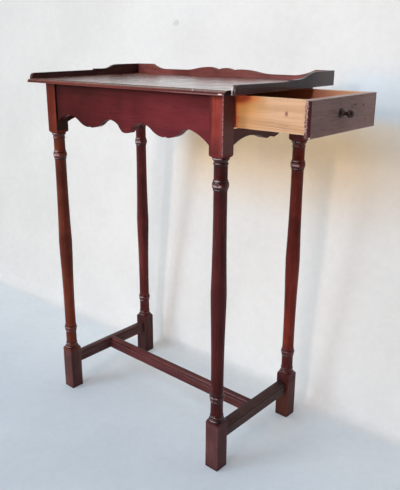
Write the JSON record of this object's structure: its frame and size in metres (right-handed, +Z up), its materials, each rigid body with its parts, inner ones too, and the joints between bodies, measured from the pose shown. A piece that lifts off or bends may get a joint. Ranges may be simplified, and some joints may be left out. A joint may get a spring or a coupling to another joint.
{
  "type": "tavern table",
  "caption": "Small mahogany side table with turned legs, scalloped aprons, a galleried top and a drawer that slides out of one end.",
  "frame": {"origin": "on the floor, under the middle of the box around the table with its drawer open as modelled", "axes": "+Z up, +X along the table's length towards the drawer end, +Y from the open front edge of the top to the back gallery"},
  "size_m": [0.6556, 0.316, 0.7313],
  "materials": {
    "mahogany_legs": "old polished mahogany, dark red-brown",
    "mahogany_gallery": "old polished mahogany, worn pale along the upper edges",
    "mahogany_top": "old polished mahogany, glossy",
    "mahogany_aprons": "old polished mahogany, satin",
    "mahogany_stretchers": "old polished mahogany, rubbed along the mouldings",
    "mahogany_drawer_front": "old mahogany, dull and greyish",
    "mahogany_knob": "turned mahogany, polished by handling",
    "pine_drawer": "unfinished old pine, tan",
    "pine_carcase": "unfinished old pine, tan",
    "iron_nails": "dark iron"
  },
  "bodies": {
    "table": {"back_apron": "mahogany_aprons", "centre_stretcher": "mahogany_stretchers", "drawer_rail": "mahogany_aprons", "drawer_stops": "pine_carcase", "front_apron": "mahogany_aprons", "gallery_back": "mahogany_gallery", "gallery_left": "mahogany_gallery", "gallery_nails": "iron_nails", "gallery_right": "mahogany_gallery", "glue_blocks": "pine_carcase", "guide_back": "pine_carcase", "guide_front": "pine_carcase", "left_apron": "mahogany_aprons", "left_stretcher": "mahogany_stretchers", "leg_back_left": "mahogany_legs", "leg_back_right": "mahogany_legs", "leg_front_left": "mahogany_legs", "leg_front_right": "mahogany_legs", "right_stretcher": "mahogany_stretchers", "runner_back": "pine_carcase", "runner_front": "pine_carcase", "top_board": "mahogany_top"},
    "drawer": {"drawer_front": "mahogany_drawer_front", "drawer_side_front": "pine_drawer", "drawer_side_back": "pine_drawer", "drawer_back": "pine_drawer", "drawer_bottom": "pine_drawer", "drawer_nails": "iron_nails", "drawer_knob": "mahogany_knob"}
  },
  "joints": [
    {"name": "drawer_slide", "type": "slide", "parent": "table", "child": "drawer", "axis": [1, 0, 0], "range_m": [-0.141, 0.119]}
  ]
}
